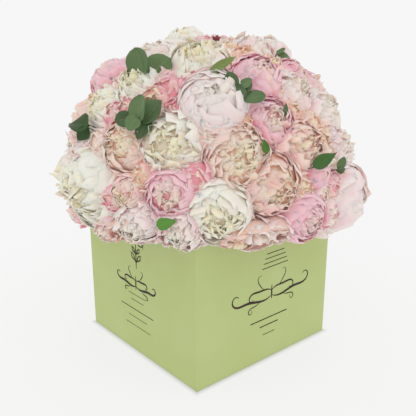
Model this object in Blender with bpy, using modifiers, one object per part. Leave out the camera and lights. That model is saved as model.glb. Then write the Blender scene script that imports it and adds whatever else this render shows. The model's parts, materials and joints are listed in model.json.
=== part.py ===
"""White and pink peony bouquet: a dome of cut peonies and foliage in a square card flower box.

Metres, +Z up. The origin is at the middle of the box's base. Every bloom is one turned solid
(head, calyx and stem) whose axis runs from a point inside the foam to its place on the dome.
Neighbouring heads press on each other, so each one is trimmed to its own share of the dome.
"""
import math

import bmesh
import bpy
from mathutils import Matrix, Vector

MM = 0.001
OBJECT_NAME = "peony_bouquet"

# The card box and what it holds.
BOX_WIDTH = 280 * MM
BOX_HEIGHT = 250 * MM
BOARD = 2.5 * MM
BOX_EDGE = 1.0 * MM
FIT = 0.4 * MM
LINER_WALL = 1.2 * MM
LINER_DROP = 20 * MM
FOAM_WIDTH = 256 * MM
FOAM_TOP = 235 * MM
CROWN_WIDTH = 168 * MM
CROWN_TOP = 380 * MM
CROWN_ROUNDING = 38 * MM

# The dome of flowers.
DOME_CENTRE = Vector((0, 0, 263 * MM))
DOME_RADIUS = 235 * MM
STEMS_MEET = Vector((0, 0, 300 * MM))
STEM_RADIUS = 3.5 * MM
STEM_START = 55 * MM
STEM_ROOM = math.asin((STEM_RADIUS + 0.5 * MM) / STEM_START)
CALYX_LENGTH = 8 * MM
SINK = 0.8
PRESSED_WIDTH = 1.18
TURN_STEPS = 9
CUT_ANGLE = math.radians(75)
GAP = 0.3 * MM
FAR = 400 * MM

# Form: height of the middle of the head and of its shoulder, as shares of its radius.
HEAD_FORMS = {
    "open": (0.62, 0.78),
    "cup": (0.55, 0.88),
    "ball": (0.96, 0.96),
    "bud": (1.30, 1.25),
}
SHOULDER_ANGLES = (60, 30, 0, -34, -66)

# Form, colour, azimuth and elevation in degrees about the dome's centre, and width as seen
# among its neighbours and reach beyond the dome, in millimetres.
FLOWERS = (
    ("open", "ivory", -141, 69, 94, 0),
    ("open", "blush", 160, 66, 76, 0),
    ("ball", "ivory", 100, 77, 76, -8),
    ("open", "blush", -46, 71, 74, 0),
    ("ball", "blush", -18, 62, 68, 0),
    ("cup", "pink", -54, 53, 60, 0),
    ("ball", "pink", -99, 54, 64, 0),
    ("open", "blush", -76, 46, 64, 0),
    ("open", "pink", -40, 43, 66, 0),
    ("ball", "pink", 147, 49, 60, 0),
    ("open", "ivory", -177, 51, 66, 0),
    ("open", "ivory", 167, 38, 66, -4),
    ("ball", "blush", -127, 45, 84, 0),
    ("cup", "pink", -101, 36, 66, 0),
    ("open", "peach", -89, 25, 68, 0),
    ("open", "blush", -57, 34, 80, 0),
    ("open", "ivory", -146, 28, 88, 0),
    ("open", "peach", -166, 26, 70, 0),
    ("open", "peach", -118, 24, 80, 0),
    ("open", "ivory", 175, 6, 106, 0),
    ("cup", "pink", -144, 11, 66, 0),
    ("cup", "peach", -161, 9, 44, -4),
    ("open", "blush", -157, -3, 60, 0),
    ("open", "blush", -140, -3, 58, 0),
    ("cup", "ivory", -126, 4, 82, 0),
    ("open", "peach", -105, 13, 78, 0),
    ("cup", "pink", -91, -2, 70, 0),
    ("ball", "blush", -60, -1, 92, 0),
    ("bud", "pink", -86, 14, 36, -4),
    ("open", "blush", -41, 12, 64, 0),
    ("open", "blush", -62, 20, 62, 0),
    ("open", "blush", 163, 21, 60, -4),
    ("open", "ivory", 145, 3, 84, 0),
    ("open", "blush", 120, -2, 90, 0),
    ("cup", "pink", 92, -4, 90, 0),
    ("open", "ivory", 64, -4, 90, 0),
    ("open", "peach", 38, 4, 88, 0),
    ("open", "blush", 11, -4, 92, 0),
    ("cup", "pink", -18, -4, 90, 0),
    ("open", "peach", 136, 26, 88, 0),
    ("open", "ivory", 108, 25, 88, 0),
    ("open", "blush", 80, 24, 90, 0),
    ("cup", "pink", 52, 28, 84, 0),
    ("open", "ivory", 24, 23, 90, 0),
    ("open", "blush", -6, 23, 88, 0),
    ("open", "peach", -30, 27, 66, 0),
    ("open", "blush", 118, 52, 84, 0),
    ("open", "peach", 78, 50, 88, 0),
    ("open", "ivory", 38, 56, 88, 0),
    ("cup", "pink", 4, 46, 88, 0),
)

# Name, form, azimuth, elevation, width and reach, as above.
FOLIAGE = (
    ("eucalyptus_left", "round", -161, 39, 32, 6),
    ("eucalyptus_top", "round", -170, 62, 30, 6),
    ("eucalyptus_middle", "round", -113, 47, 28, 6),
    ("eucalyptus_back", "round", 56, 8, 32, 6),
    ("peony_leaf_right", "pointed", -75, 12, 30, 4),
    ("peony_leaf_left", "pointed", 172, 29, 30, 4),
)
# Leaf plates on a sprig: height above the sprig's place, half length, half width, tilt and turn.
LEAF_PLATES = {
    "round": ((-8, 15, 14, 20, 0), (0, 14, 12, -18, 120), (8, 10, 9, 12, 240)),
    "pointed": ((-4, 20, 9, 24, 0), (3, 16, 8, -20, 150)),
}
LEAF_THICKNESS = 1.4 * MM
LEAF_SIDES = 10

# Colour, roughness and metallic value.
FINISHES = {
    "box_card": ((0.44, 0.53, 0.25), 0.6, 0.0),
    "liner_film": ((0.75, 0.78, 0.78), 0.25, 0.0),
    "floral_foam": ((0.05, 0.20, 0.09), 0.95, 0.0),
    "ivory": ((0.84, 0.80, 0.62), 0.55, 0.0),
    "blush": ((0.81, 0.66, 0.66), 0.55, 0.0),
    "pink": ((0.80, 0.40, 0.52), 0.55, 0.0),
    "peach": ((0.83, 0.65, 0.50), 0.55, 0.0),
    "round": ((0.08, 0.15, 0.09), 0.6, 0.0),
    "pointed": ((0.05, 0.15, 0.02), 0.5, 0.0),
}


class Cell:
    """One flower's or sprig's share of the dome: its axis, its middle and its width."""

    def __init__(self, name, form, finish, azimuth, elevation, width, reach):
        self.name = name
        self.form = form
        self.finish = finish
        seen_radius = width * MM / 2
        self.radius = seen_radius * PRESSED_WIDTH
        turn = math.radians(azimuth)
        rise = math.radians(elevation)
        outward = Vector((
            math.cos(turn) * math.cos(rise),
            math.sin(turn) * math.cos(rise),
            math.sin(rise),
        ))
        distance = DOME_RADIUS - SINK * seen_radius + reach * MM
        self.middle = DOME_CENTRE + outward * distance
        self.length = (self.middle - STEMS_MEET).length
        self.axis = (self.middle - STEMS_MEET).normalized()
        self.spread = math.asin(self.radius / self.length)

    def placement(self):
        """The matrix that carries a piece turned about +Z, with its middle at 0, to its place."""
        turn = Vector((0, 0, 1)).rotation_difference(self.axis).to_matrix().to_4x4()
        return Matrix.Translation(self.middle) @ turn


def clear_scene():
    for old in list(bpy.data.objects):
        bpy.data.objects.remove(old, do_unlink=True)


def make_collection(name):
    collection = bpy.data.collections.new(name)
    bpy.context.scene.collection.children.link(collection)
    return collection


def make_material(name):
    colour, roughness, metallic = FINISHES[name]
    material = bpy.data.materials.new(name)
    material.use_nodes = True
    shader = material.node_tree.nodes["Principled BSDF"]
    shader.inputs["Base Color"].default_value = (*colour, 1.0)
    shader.inputs["Roughness"].default_value = roughness
    shader.inputs["Metallic"].default_value = metallic
    material.diffuse_color = (*colour, 1.0)
    return material


def add_object(name, mesh, collection, material=None):
    piece = bpy.data.objects.new(name, mesh)
    collection.objects.link(piece)
    if material:
        mesh.materials.clear()
        mesh.materials.append(material)
    return piece


def mark_as_cutter(piece):
    piece.hide_render = True
    piece.display_type = "WIRE"


def mesh_from(bm, name):
    mesh = bpy.data.meshes.new(name)
    bm.to_mesh(mesh)
    bm.free()
    return mesh


def evaluated_mesh(piece):
    """The piece's mesh with its modifiers applied, and the piece itself removed."""
    bpy.context.view_layer.update()
    graph = bpy.context.evaluated_depsgraph_get()
    mesh = bpy.data.meshes.new_from_object(piece.evaluated_get(graph))
    bpy.data.objects.remove(piece, do_unlink=True)
    return mesh


def block_mesh(name, width, bottom, top):
    bm = bmesh.new()
    bmesh.ops.create_cube(bm, size=1)
    bmesh.ops.scale(bm, vec=(width, width, top - bottom), verts=bm.verts)
    bmesh.ops.translate(bm, vec=(0, 0, (top + bottom) / 2), verts=bm.verts)
    return bm if name is None else mesh_from(bm, name)


def open_tray(name, width, bottom, top, wall, edge, collection, material):
    """A square tray: a block without its lid, given its wall inwards."""
    bm = block_mesh(None, width, bottom, top)
    lid = [face for face in bm.faces if face.normal.z > 0.5]
    bmesh.ops.delete(bm, geom=lid, context="FACES_ONLY")
    piece = add_object(name, mesh_from(bm, name), collection, material)
    shell = piece.modifiers.new("wall", "SOLIDIFY")
    shell.thickness = wall
    shell.offset = -1
    shell.use_even_offset = True
    if edge:
        rounding = piece.modifiers.new("edges", "BEVEL")
        rounding.width = edge
        rounding.segments = 2
        rounding.limit_method = "ANGLE"
    return piece


def turned_mesh(name, profile):
    """A solid of revolution about Z from an outline that runs down its outer side."""
    bm = bmesh.new()
    corners = [bm.verts.new((x, 0, z)) for x, z in profile]
    for upper, lower in zip(corners, corners[1:]):
        bm.edges.new((upper, lower))
    piece = bpy.data.objects.new(name, mesh_from(bm, name))
    bpy.context.scene.collection.objects.link(piece)
    screw = piece.modifiers.new("turn", "SCREW")
    screw.steps = TURN_STEPS
    screw.render_steps = TURN_STEPS
    screw.use_merge_vertices = True
    screw.merge_threshold = 0.00001
    screw.use_smooth_shade = True
    return evaluated_mesh(piece)


def bloom_outline(cell):
    """Head, calyx and stem, from the middle of the head down to the stem's cut end."""
    middle_height, shoulder = HEAD_FORMS[cell.form]
    radius = cell.radius
    outline = [(0, middle_height * radius)]
    for degrees in SHOULDER_ANGLES:
        angle = math.radians(degrees)
        height = shoulder if degrees > 0 else 1.0
        outline.append((radius * math.cos(angle), radius * height * math.sin(angle)))
    foot = -(cell.length - STEM_START)
    outline.append((STEM_RADIUS, -radius - CALYX_LENGTH))
    outline.append((STEM_RADIUS, foot))
    outline.append((0, foot))
    return outline


def leaf_plate(name, plate, cutters):
    """One oval leaf as a thin tilted plate that its stem runs through."""
    height, half_length, half_width, tilt, turn = plate
    bm = bmesh.new()
    bmesh.ops.create_cone(
        bm, cap_ends=True, segments=LEAF_SIDES, radius1=1, radius2=1, depth=LEAF_THICKNESS)
    bmesh.ops.scale(bm, vec=(half_length * MM, half_width * MM, 1), verts=bm.verts)
    bmesh.ops.translate(bm, vec=(half_length * MM / 3, 0, 0), verts=bm.verts)
    lean = Matrix.Rotation(math.radians(turn), 4, "Z") @ Matrix.Rotation(math.radians(tilt), 4, "Y")
    place = Matrix.Translation((0, 0, height * MM)) @ lean
    bmesh.ops.transform(bm, matrix=place, verts=bm.verts)
    piece = add_object(name, mesh_from(bm, name), cutters)
    mark_as_cutter(piece)
    return piece


def sprig_mesh(cell, cutters):
    """A stem joined to its leaf plates."""
    foot = -(cell.length - STEM_START)
    tip = (LEAF_PLATES[cell.form][-1][0] + 3) * MM
    outline = [(0, tip), (STEM_RADIUS * 0.6, tip), (STEM_RADIUS, foot), (0, foot)]
    piece = bpy.data.objects.new(cell.name, turned_mesh(cell.name, outline))
    bpy.context.scene.collection.objects.link(piece)
    for number, plate in enumerate(LEAF_PLATES[cell.form]):
        leaf = leaf_plate(f"{cell.name}_plate_{number}", plate, cutters)
        join = piece.modifiers.new("leaf", "BOOLEAN")
        join.operation = "UNION"
        join.solver = "EXACT"
        join.object = leaf
    return evaluated_mesh(piece)


def trim_to_cell(bm, cell, cells):
    """Cut the piece where its share of the dome meets each neighbour's."""
    for other in cells:
        apart = cell.axis.angle(other.axis)
        if other is cell or apart > CUT_ANGLE:
            continue
        share = apart * cell.spread / (cell.spread + other.spread)
        share = min(max(share, STEM_ROOM), apart - STEM_ROOM)
        hinge = cell.axis.cross(other.axis).normalized()
        border = Matrix.Rotation(share, 3, hinge) @ cell.axis
        away = hinge.cross(border).normalized()
        plane_point = STEMS_MEET - away * GAP / 2
        if max((vert.co - plane_point).dot(away) for vert in bm.verts) < 0:
            continue
        cut = bmesh.ops.bisect_plane(
            bm,
            geom=bm.verts[:] + bm.edges[:] + bm.faces[:],
            dist=0.000001,
            plane_co=plane_point,
            plane_no=away,
            clear_outer=True,
        )
        rim = [part for part in cut["geom_cut"] if isinstance(part, bmesh.types.BMEdge)]
        bmesh.ops.holes_fill(bm, edges=rim, sides=0)


def clear_of_box(piece, keep_out):
    """Cut a low head back to the box's walls and rim."""
    cut = piece.modifiers.new("box_clearance", "BOOLEAN")
    cut.operation = "DIFFERENCE"
    cut.solver = "EXACT"
    cut.object = keep_out


def is_near_box(mesh):
    return any(vert.co.z < BOX_HEIGHT + GAP for vert in mesh.vertices)


def make_growth(cell, cells, collection, cutters, material, keep_out):
    """One bloom or sprig, in place, trimmed to its neighbours and to the box."""
    if cell.form in HEAD_FORMS:
        mesh = turned_mesh(cell.name, bloom_outline(cell))
    else:
        mesh = sprig_mesh(cell, cutters)
    bm = bmesh.new()
    bm.from_mesh(mesh)
    bmesh.ops.transform(bm, matrix=cell.placement(), verts=bm.verts)
    trim_to_cell(bm, cell, cells)
    bm.to_mesh(mesh)
    bm.free()
    mesh.shade_smooth()
    mesh.set_sharp_from_angle(angle=math.radians(40))
    piece = add_object(cell.name, mesh, collection, material)
    if is_near_box(mesh):
        clear_of_box(piece, keep_out)
    return piece


def list_cells():
    """Every bloom and sprig, named by form and number."""
    cells = []
    for number, (form, tint, *place) in enumerate(FLOWERS, start=1):
        cells.append(Cell(f"peony_{form}_{number:02d}", form, tint, *place))
    for name, form, *place in FOLIAGE:
        cells.append(Cell(name, form, form, *place))
    return cells


def stem_holes(cells, cutters):
    """One mesh with a round hole for every stem."""
    bm = bmesh.new()
    hole_length = CROWN_WIDTH
    for cell in cells:
        made = bmesh.ops.create_cone(
            bm,
            cap_ends=True,
            segments=TURN_STEPS,
            radius1=STEM_RADIUS + 2 * GAP,
            radius2=STEM_RADIUS + 2 * GAP,
            depth=hole_length,
        )
        start = STEMS_MEET + cell.axis * (STEM_START - GAP + hole_length / 2)
        turn = Vector((0, 0, 1)).rotation_difference(cell.axis).to_matrix().to_4x4()
        bmesh.ops.transform(bm, matrix=Matrix.Translation(start) @ turn, verts=made["verts"])
    piece = add_object("stem_holes", mesh_from(bm, "stem_holes"), cutters)
    mark_as_cutter(piece)
    return piece


def make_box(collection, materials):
    open_tray("card_box", BOX_WIDTH, 0, BOX_HEIGHT, BOARD, BOX_EDGE, collection,
              materials["box_card"])


def make_liner(collection, materials):
    width = BOX_WIDTH - 2 * BOARD - 2 * FIT
    open_tray("waterproof_liner", width, BOARD + FIT, BOX_HEIGHT - LINER_DROP, LINER_WALL, 0,
              collection, materials["liner_film"])


def make_foam(collection, materials, cells, cutters):
    """A block that fills the liner and a carved crown on it that takes the stems."""
    bottom = BOARD + FIT + LINER_WALL + FIT
    block = block_mesh("foam_block", FOAM_WIDTH, bottom, FOAM_TOP)
    add_object("foam_block", block, collection, materials["floral_foam"])
    bm = block_mesh(None, CROWN_WIDTH, FOAM_TOP + FIT, CROWN_TOP)
    upper = [edge for edge in bm.edges if max(vert.co.z for vert in edge.verts) > CROWN_TOP - GAP]
    bmesh.ops.bevel(
        bm, geom=upper, offset=CROWN_ROUNDING, segments=2, profile=0.5, affect="EDGES",
        material=-1)
    crown = add_object("foam_crown", mesh_from(bm, "foam_crown"), collection,
                       materials["floral_foam"])
    holes = crown.modifiers.new("stem_holes", "BOOLEAN")
    holes.operation = "DIFFERENCE"
    holes.solver = "EXACT"
    holes.object = stem_holes(cells, cutters)


def make_keep_out(cutters):
    """The space of the box, which no bloom may enter below its rim."""
    mesh = block_mesh("box_space", BOX_WIDTH + 2 * GAP, -BOARD, BOX_HEIGHT + GAP)
    piece = add_object("box_space", mesh, cutters)
    mark_as_cutter(piece)
    return piece


def main():
    clear_scene()
    collection = make_collection(OBJECT_NAME)
    cutters = make_collection("cutters")
    materials = {name: make_material(name) for name in FINISHES}
    cells = list_cells()
    make_box(collection, materials)
    make_liner(collection, materials)
    make_foam(collection, materials, cells, cutters)
    keep_out = make_keep_out(cutters)
    for cell in cells:
        make_growth(cell, cells, collection, cutters, materials[cell.finish], keep_out)


main()
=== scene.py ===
"""White and pink peony bouquet in a square card flower box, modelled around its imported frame."""
import json
import math
import random
from collections import namedtuple
from functools import lru_cache

import bmesh
import bpy
import numpy as np
from bpy.props import FloatProperty, IntProperty, PointerProperty
from mathutils import Matrix, Vector


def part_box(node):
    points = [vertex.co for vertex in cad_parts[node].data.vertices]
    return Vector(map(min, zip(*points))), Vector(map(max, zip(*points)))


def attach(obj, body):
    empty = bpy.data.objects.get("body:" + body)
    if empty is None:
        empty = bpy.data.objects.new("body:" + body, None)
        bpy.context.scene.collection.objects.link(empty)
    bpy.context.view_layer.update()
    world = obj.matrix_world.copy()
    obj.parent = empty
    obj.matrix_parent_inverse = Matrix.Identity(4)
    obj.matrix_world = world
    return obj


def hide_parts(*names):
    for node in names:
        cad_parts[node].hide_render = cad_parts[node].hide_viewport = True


bl_info = {
    "name": "Peony bouquet",
    "version": (1, 0, 0),
    "blender": (4, 5, 0),
    "location": "View3D > Sidebar > Bouquet",
    "description": "Models a dome of peonies and foliage in a square card flower box",
    "category": "Object",
}

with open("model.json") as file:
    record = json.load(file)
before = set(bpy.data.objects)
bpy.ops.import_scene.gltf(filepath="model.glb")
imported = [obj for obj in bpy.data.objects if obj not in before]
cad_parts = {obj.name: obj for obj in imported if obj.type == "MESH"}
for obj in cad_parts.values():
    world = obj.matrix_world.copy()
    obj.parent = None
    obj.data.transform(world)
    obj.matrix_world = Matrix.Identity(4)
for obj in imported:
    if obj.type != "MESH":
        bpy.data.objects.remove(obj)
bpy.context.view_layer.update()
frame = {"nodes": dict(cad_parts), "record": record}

MM = 0.001
ROOT = "root"
BOX_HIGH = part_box("card_box")[1]
BOX_HALF = BOX_HIGH.x
BOX_TOP = BOX_HIGH.z
STEMS_MEET = Vector((0, 0, 300 * MM))
DOME_CENTRE = Vector((0, 0, 263 * MM))
DOME_RADIUS = 235 * MM
STEM_RADIUS = 3.5 * MM
CALYX_LENGTH = 8 * MM
CALYX_RADIUS = 9 * MM
# How far from where the stems meet their cut ends stay.
STEM_START = 43 * MM
SLOTS = {row["node"]: row["material_slot"] for row in frame["record"]["subparts"]}

# Height of the middle of a head over its centre, as a share of its radius, by form.
HEAD_HEIGHTS = {"open": 0.62, "cup": 0.55, "ball": 0.96, "bud": 1.30}
# How far a bloom is set back into its place, so that its heart ends where its solid does.
SET_BACK = {"open": 0.24, "cup": 0.27, "ball": 0.02, "bud": 0.05}


# ---------------------------------------------------------------- small helpers

def srgb(text):
    """A hex colour such as F5E6DC as linear red, green, blue and alpha."""
    parts = [int(text[i:i + 2], 16) / 255 for i in (0, 2, 4)]
    linear = [p / 12.92 if p <= 0.04045 else ((p + 0.055) / 1.055) ** 2.4 for p in parts]
    return (*linear, 1.0)


def add_node(tree, kind, settings=None, inputs=None):
    """Adds a node, sets its settings, and gives each input a value or a link."""
    node = tree.nodes.new(kind)
    for name, value in (settings or {}).items():
        setattr(node, name, value)
    for socket, value in (inputs or {}).items():
        if isinstance(value, bpy.types.NodeSocket):
            tree.links.new(value, node.inputs[socket])
        else:
            node.inputs[socket].default_value = value
    return node


def new_material(name):
    material = bpy.data.materials.new(name)
    material.use_nodes = True
    material.node_tree.nodes.clear()
    return material, material.node_tree


def finish_material(tree, shader_inputs):
    shader = add_node(tree, "ShaderNodeBsdfPrincipled", None, shader_inputs)
    add_node(tree, "ShaderNodeOutputMaterial", None, {"Surface": shader.outputs["BSDF"]})


def object_noise(tree, size, detail=2.0):
    """Noise fixed to the piece, with spots of a real size."""
    place = add_node(tree, "ShaderNodeTexCoord")
    return add_node(tree, "ShaderNodeTexNoise", None, {
        "Vector": place.outputs["Object"], "Scale": 1 / size, "Detail": detail}).outputs[0]


def two_tone(tree, share, dark, light):
    """A colour that a noise carries from a dark to a light one."""
    colour = add_node(tree, "ShaderNodeValToRGB", None, {0: share})
    set_stops(colour, ((0.3, dark), (0.7, light)))
    return colour.outputs[0]


def add_bump(tree, height, strength, distance, under=None):
    inputs = {"Height": height, "Strength": strength, "Distance": distance}
    if under is not None:
        inputs["Normal"] = under
    return add_node(tree, "ShaderNodeBump", None, inputs).outputs[0]


def smooth_range(tree, value, low, high, start, end):
    """A value that passes smoothly from start to end as another goes from low to high."""
    return add_node(tree, "ShaderNodeMapRange", {"interpolation_type": "SMOOTHSTEP"},
                    {0: value, 1: low, 2: high, 3: start, 4: end}).outputs[0]


def mix_colours(tree, share, first, second):
    return add_node(tree, "ShaderNodeMix", {"data_type": "RGBA"},
                    {0: share, 6: first, 7: second}).outputs[2]


def stretched_noise(tree, attribute, repeats, detail):
    """Noise in a petal's own coordinates: across, along and from petal to petal."""
    stretch = add_node(tree, "ShaderNodeVectorMath", {"operation": "MULTIPLY"},
                       {0: attribute.outputs["Color"], 1: repeats})
    return add_node(tree, "ShaderNodeTexNoise", None, {
        "Vector": stretch.outputs[0], "Scale": 1.0, "Detail": detail}).outputs[0]


def set_stops(ramp, stops):
    """Gives a colour ramp its stops, each a place and a hex colour."""
    elements = ramp.color_ramp.elements
    for place, colour in stops[1:-1]:
        elements.new(place).color = srgb(colour)
    elements[0].position, elements[0].color = stops[0][0], srgb(stops[0][1])
    elements[-1].position, elements[-1].color = stops[-1][0], srgb(stops[-1][1])


def add_piece(name, form, material, replaces=(), thickness=None, smooth=True):
    """Makes a piece of a bmesh or of sheets, which rides on the one body of this row."""
    mesh = bpy.data.meshes.new(name)
    bm = form.bm if isinstance(form, Sheets) else form
    bm.to_mesh(mesh)
    bm.free()
    if isinstance(form, Sheets):
        form.set_points(mesh)
    if smooth:
        mesh.shade_smooth()
    mesh.materials.append(material)
    piece = bpy.data.objects.new(name, mesh)
    bpy.context.scene.collection.objects.link(piece)
    if thickness:
        shell = piece.modifiers.new("thickness", "SOLIDIFY")
        shell.thickness = thickness
        shell.offset = 0
    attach(piece, ROOT)
    if replaces:
        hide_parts(*replaces)
    return piece


def smooth_step(low, high, value):
    share = np.clip((value - low) / (high - low), 0, 1)
    return share * share * (3 - 2 * share)


def settings():
    return bpy.context.scene.bouquet


# ---------------------------------------------------------------- places on the dome

# How a solid's points are told apart: those of the stem's cut end, those on its side and
# those on its axis.
CUT_DEPTH = 0.3 * MM
STEM_MARGIN = 0.4 * MM
ON_AXIS = 1 * MM
SPRIG_RADIUS = 16 * MM
NEIGHBOURS_WITHIN = math.radians(60)
BOX_MARGIN = 1.2 * MM


class Cell:
    """A flower's or sprig's place, read from its CAD solid: axis, middle and radius."""

    def __init__(self, name):
        self.name = name
        self.form = name.split("_")[1]
        self.slot = SLOTS[name]
        points = np.array([vert.co for vert in frame["nodes"][name].data.vertices])
        arms = np.unique((points - np.array(STEMS_MEET)).round(6), axis=0)
        reaches = np.linalg.norm(arms, axis=1)
        cut_end = arms[reaches < reaches.min() + CUT_DEPTH]
        self.axis = Vector(cut_end.mean(0)).normalized()
        heights = arms @ np.array(self.axis)
        spread = np.linalg.norm(arms - np.outer(heights, np.array(self.axis)), axis=1)
        on_stem = np.abs(spread - STEM_RADIUS) < STEM_MARGIN
        if self.form in HEAD_HEIGHTS:
            top = heights[spread < ON_AXIS].max()
            calyx = heights[on_stem].max()
            self.radius = (top - calyx - CALYX_LENGTH) / (HEAD_HEIGHTS[self.form] + 1)
            self.length = calyx + CALYX_LENGTH + self.radius * (1 - SET_BACK[self.form])
        else:
            self.radius = SPRIG_RADIUS
            self.length = heights.max()
        self.middle = STEMS_MEET + self.axis * self.length
        self.spread = math.asin(min(1, self.radius / self.length))
        self.basis = basis_along(self.axis)
        outward = (self.middle - DOME_CENTRE).normalized()
        self.elevation = math.degrees(math.asin(outward.z))


def basis_along(axis):
    """Columns x, y, z with z along the axis and x as near to straight up as it can be."""
    up = Vector((0, 0, 1))
    if abs(axis.z) > 0.98:
        up = Vector((1, 1, 0))
    x = (up - axis * up.dot(axis)).normalized()
    y = axis.cross(x)
    return np.array([x, y, axis]).T


def border_planes(cell, cells):
    """Where the cell's share of the dome meets each neighbour's: normals away from it."""
    planes = []
    for other in cells:
        apart = cell.axis.angle(other.axis)
        if other is cell or apart > NEIGHBOURS_WITHIN:
            continue
        share = cell.spread / (cell.spread + other.spread)
        hinge = cell.axis.cross(other.axis).normalized()
        border = Matrix.Rotation(apart * share, 3, hinge) @ cell.axis
        planes.append(np.array(hinge.cross(border).normalized()))
    return planes


def press_together(points, planes, softness, overlap, axis):
    """Petals that would pass the border with a neighbour are pressed up against it."""
    arms = points - np.array(STEMS_MEET)
    held_back = np.zeros(len(arms))
    for normal in planes:
        depth = np.maximum(arms @ normal + softness - overlap, 0)
        excess = depth - softness * np.tanh(depth / softness)
        arms -= np.outer(excess, normal)
        held_back += excess
    return arms + np.outer(held_back * STAND_UP, axis) + np.array(STEMS_MEET)


def keep_off_box(points):
    """Petals that hang below the rim lie on the outside of the box's walls."""
    wall = BOX_HALF + BOX_MARGIN
    low = points[:, 2] < BOX_TOP + BOX_MARGIN
    inside = low & (np.abs(points[:, 0]) < wall) & (np.abs(points[:, 1]) < wall)
    sideways = np.abs(points[:, 0]) > np.abs(points[:, 1])
    for axis, chosen in ((0, inside & sideways), (1, inside & ~sideways)):
        points[chosen, axis] = np.where(points[chosen, axis] < 0, -wall, wall)
    return points


# The hem of the dome: how far below the rim it hangs, how far it climbs towards the front
# corner, and how softly petals are held above it.
HEM_LOW = 74 * MM
HEM_RISE = 62 * MM
HEM_SOFTNESS = 18 * MM


def lift_hem(points, slack):
    """The lowest petals end in a hem that climbs towards the box's front corner."""
    to_front = -(points[:, 0] + points[:, 1]) / (2 * BOX_HALF)
    hem = BOX_TOP - HEM_LOW + HEM_RISE * smooth_step(0.25, 1.0, to_front) + slack
    depth = np.maximum(hem + HEM_SOFTNESS - points[:, 2], 0)
    points[:, 2] += depth - HEM_SOFTNESS * np.tanh(depth / HEM_SOFTNESS)
    return points


# ---------------------------------------------------------------- petals

# One petal. Lengths are shares of the bloom's radius and angles are degrees: reach is its
# distance from the middle, top how high its tip comes, width half its width, flare how far
# the tip bends out, ruffle and jag how uneven its edge is, rise how far the tip is pushed
# up, and wild how much it may differ from its neighbours.
Petal = namedtuple("Petal", "reach top width flare ruffle jag rise wild")

# How many petals a bloom of each form has, and how they change from the guard petals,
# at 0, to the core, at 1.
FORMS = {
    "open": (84, {
        0.00: Petal(1.04, 4, 44, 0.08, 0.040, 0.10, 0.00, 1.4),
        0.16: Petal(1.00, 24, 40, 0.07, 0.055, 0.15, 0.00, 1.4),
        0.32: Petal(0.92, 40, 32, 0.07, 0.065, 0.19, 0.06, 1.4),
        0.52: Petal(0.76, 52, 26, 0.07, 0.065, 0.18, 0.17, 1.5),
        0.75: Petal(0.55, 61, 25, 0.06, 0.070, 0.20, 0.35, 1.6),
        1.00: Petal(0.26, 70, 36, 0.05, 0.060, 0.20, 0.62, 1.7),
    }),
    "cup": (72, {
        0.00: Petal(1.02, 10, 52, 0.05, 0.030, 0.06, 0.00, 1.0),
        0.10: Petal(1.00, 30, 50, 0.06, 0.035, 0.06, 0.00, 1.2),
        0.26: Petal(0.90, 46, 40, 0.06, 0.045, 0.10, 0.04, 1.2),
        0.52: Petal(0.75, 56, 30, 0.06, 0.055, 0.15, 0.15, 1.4),
        0.75: Petal(0.54, 64, 27, 0.05, 0.065, 0.18, 0.33, 1.5),
        1.00: Petal(0.25, 72, 38, 0.04, 0.060, 0.18, 0.60, 1.6),
    }),
    "ball": (64, {
        0.00: Petal(1.02, 18, 56, 0.05, 0.030, 0.05, 0.00, 1.0),
        0.10: Petal(1.00, 42, 50, 0.06, 0.035, 0.08, 0.00, 1.2),
        0.30: Petal(0.96, 57, 40, 0.05, 0.045, 0.11, 0.02, 1.2),
        0.56: Petal(0.85, 68, 32, 0.05, 0.055, 0.15, 0.10, 1.4),
        0.78: Petal(0.64, 75, 30, 0.05, 0.060, 0.18, 0.28, 1.5),
        1.00: Petal(0.36, 79, 38, 0.04, 0.060, 0.18, 0.52, 1.6),
    }),
    "bud": (12, {
        0.00: Petal(1.00, 60, 66, 0.00, 0.010, 0.02, 0.08, 0.5),
        1.00: Petal(0.84, 88, 62, 0.00, 0.020, 0.05, 0.18, 0.5),
    }),
    "tuft": (18, {
        0.00: Petal(1.00, 22, 36, 0.12, 0.070, 0.18, 0.00, 1.5),
        1.00: Petal(0.40, 72, 36, 0.06, 0.080, 0.20, 0.34, 1.6),
    }),
}
# How high the heart of a bloom, which closes it under its petals, comes by form, its
# width and its depth, as shares of the bloom's radius, and where between foot and edge, and
# between guard and core, it takes its colour from.
HEARTS = {"open": 0.80, "cup": 0.78, "ball": 0.85, "bud": 0.90, "tuft": 0.64}
HEART_WIDTH = 0.90
HEART_DEPTH = 0.80
HEART_ALONG = 0.35
HEART_TONE = 0.9
HEART_SOFTNESS = 4 * MM
HEART_SLACK = 12 * MM
# Petals that hang from the blooms near the hem, below an elevation in degrees.
HANGING = Petal(1.04, 4, 34, 0.10, 0.060, 0.16, 0.00, 1.3)
HANGING_COUNT = 7
HANGING_SPREAD = math.radians(140)
HANGING_BELOW = 14
# Blooms with a few broad, smooth petals wrapped round their sides.
BROAD_GUARDS = ("13", "20", "28", "27")
BROAD = (Petal(1.03, 34, 60, 0.02, 0.020, 0.05, 0.00, 0.6),
         Petal(1.01, 46, 56, 0.01, 0.020, 0.05, 0.00, 0.6))
BROAD_COUNT = 8
# Faces across and along the petals, and where between guard and core the guards end.
GUARD_CUTS = (9, 10)
CORE_CUTS = (7, 7)
FILLER_CUTS = (6, 6)
GUARDS_END = 0.25
# Where between guard and core the pale petals take their colour from, and how much of the
# core's colour and of the tint the blooms with broad petals show.
PALE = 0.24
PALE_CORE = 0.7
PALE_TINT = 0.6
GOLDEN_ANGLE = math.pi * (3 - 5 ** 0.5)
# The lowest that a petal's foot lies, how many degrees a petal spans from foot to tip for
# reaches from the guard petals in, and how much one of its sides laps over the next petal.
PETAL_FOOT = -84
PETAL_SPANS = {0.5: 56, 0.9: 84, 1.0: 110}
LAPPING = 0.05
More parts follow.
